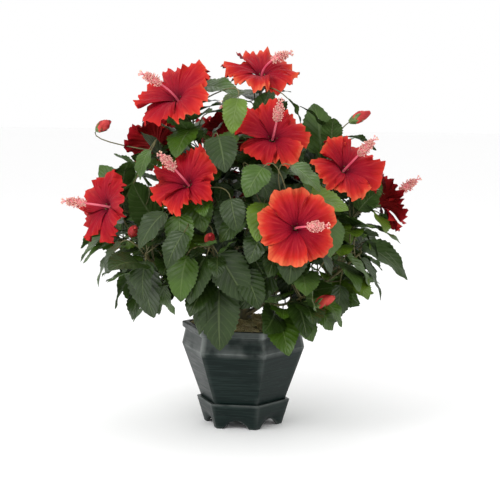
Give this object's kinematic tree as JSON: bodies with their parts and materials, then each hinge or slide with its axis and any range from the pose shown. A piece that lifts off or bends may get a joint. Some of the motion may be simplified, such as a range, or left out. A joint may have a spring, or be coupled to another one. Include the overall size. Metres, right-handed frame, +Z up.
{
  "type": "artificial hibiscus bush in a planter",
  "caption": "Silk hibiscus bush with red-orange blooms and dark green leaves, standing in a dark six-sided planter on a scalloped foot.",
  "frame": {"origin": "on the floor at the middle of the whole object's box, on the planter's axis, level with the undersides of its six feet", "axes": "+Z up; -Y out of the planter's front face; +X to the right seen from the front. The crown's best side looks 10.9 degrees from -Y towards +X"},
  "size_m": [0.4869, 0.4173, 0.5458],
  "materials": {
    "planter_charcoal": "satin",
    "moss": "matte",
    "stem_green": "matte",
    "foliage_green": "matte",
    "petal_red": "matte",
    "stamen_pink": "matte"
  },
  "bodies": {
    "root": {"planter": "planter_charcoal", "planter_foot": "planter_charcoal", "moss_fill": "moss", "main_stem": "stem_green", "bough_upper_left": "stem_green", "bough_top": "stem_green", "bough_middle_left": "stem_green", "bough_centre": "stem_green", "bough_left": "stem_green", "bough_front_right": "stem_green", "bough_right": "stem_green", "bough_upper_right": "stem_green", "bough_far_right": "stem_green", "bough_back_left": "stem_green", "bough_lower_left": "stem_green", "bough_lower_front": "stem_green", "bough_lower_right": "stem_green", "bough_right_low": "stem_green", "bough_side_left": "stem_green", "bough_back_top": "stem_green", "bough_back_right": "stem_green", "bough_back_centre": "stem_green", "bough_back_low_left": "stem_green", "bough_back_low_right": "stem_green", "bough_back_low": "stem_green", "spray_upper_left": "foliage_green", "spray_top": "foliage_green", "spray_middle_left": "foliage_green", "spray_centre": "foliage_green", "spray_left": "foliage_green", "spray_front_right": "foliage_green", "spray_right": "foliage_green", "spray_upper_right": "foliage_green", "spray_far_right": "foliage_green", "spray_back_left": "foliage_green", "spray_lower_left": "foliage_green", "spray_lower_front": "foliage_green", "spray_lower_right": "foliage_green", "spray_right_low": "foliage_green", "spray_side_left": "foliage_green", "spray_back_top": "foliage_green", "spray_back_right": "foliage_green", "spray_back_centre": "foliage_green", "spray_back_low_left": "foliage_green", "spray_back_low_right": "foliage_green", "spray_back_low": "foliage_green"}
  },
  "joints": []
}
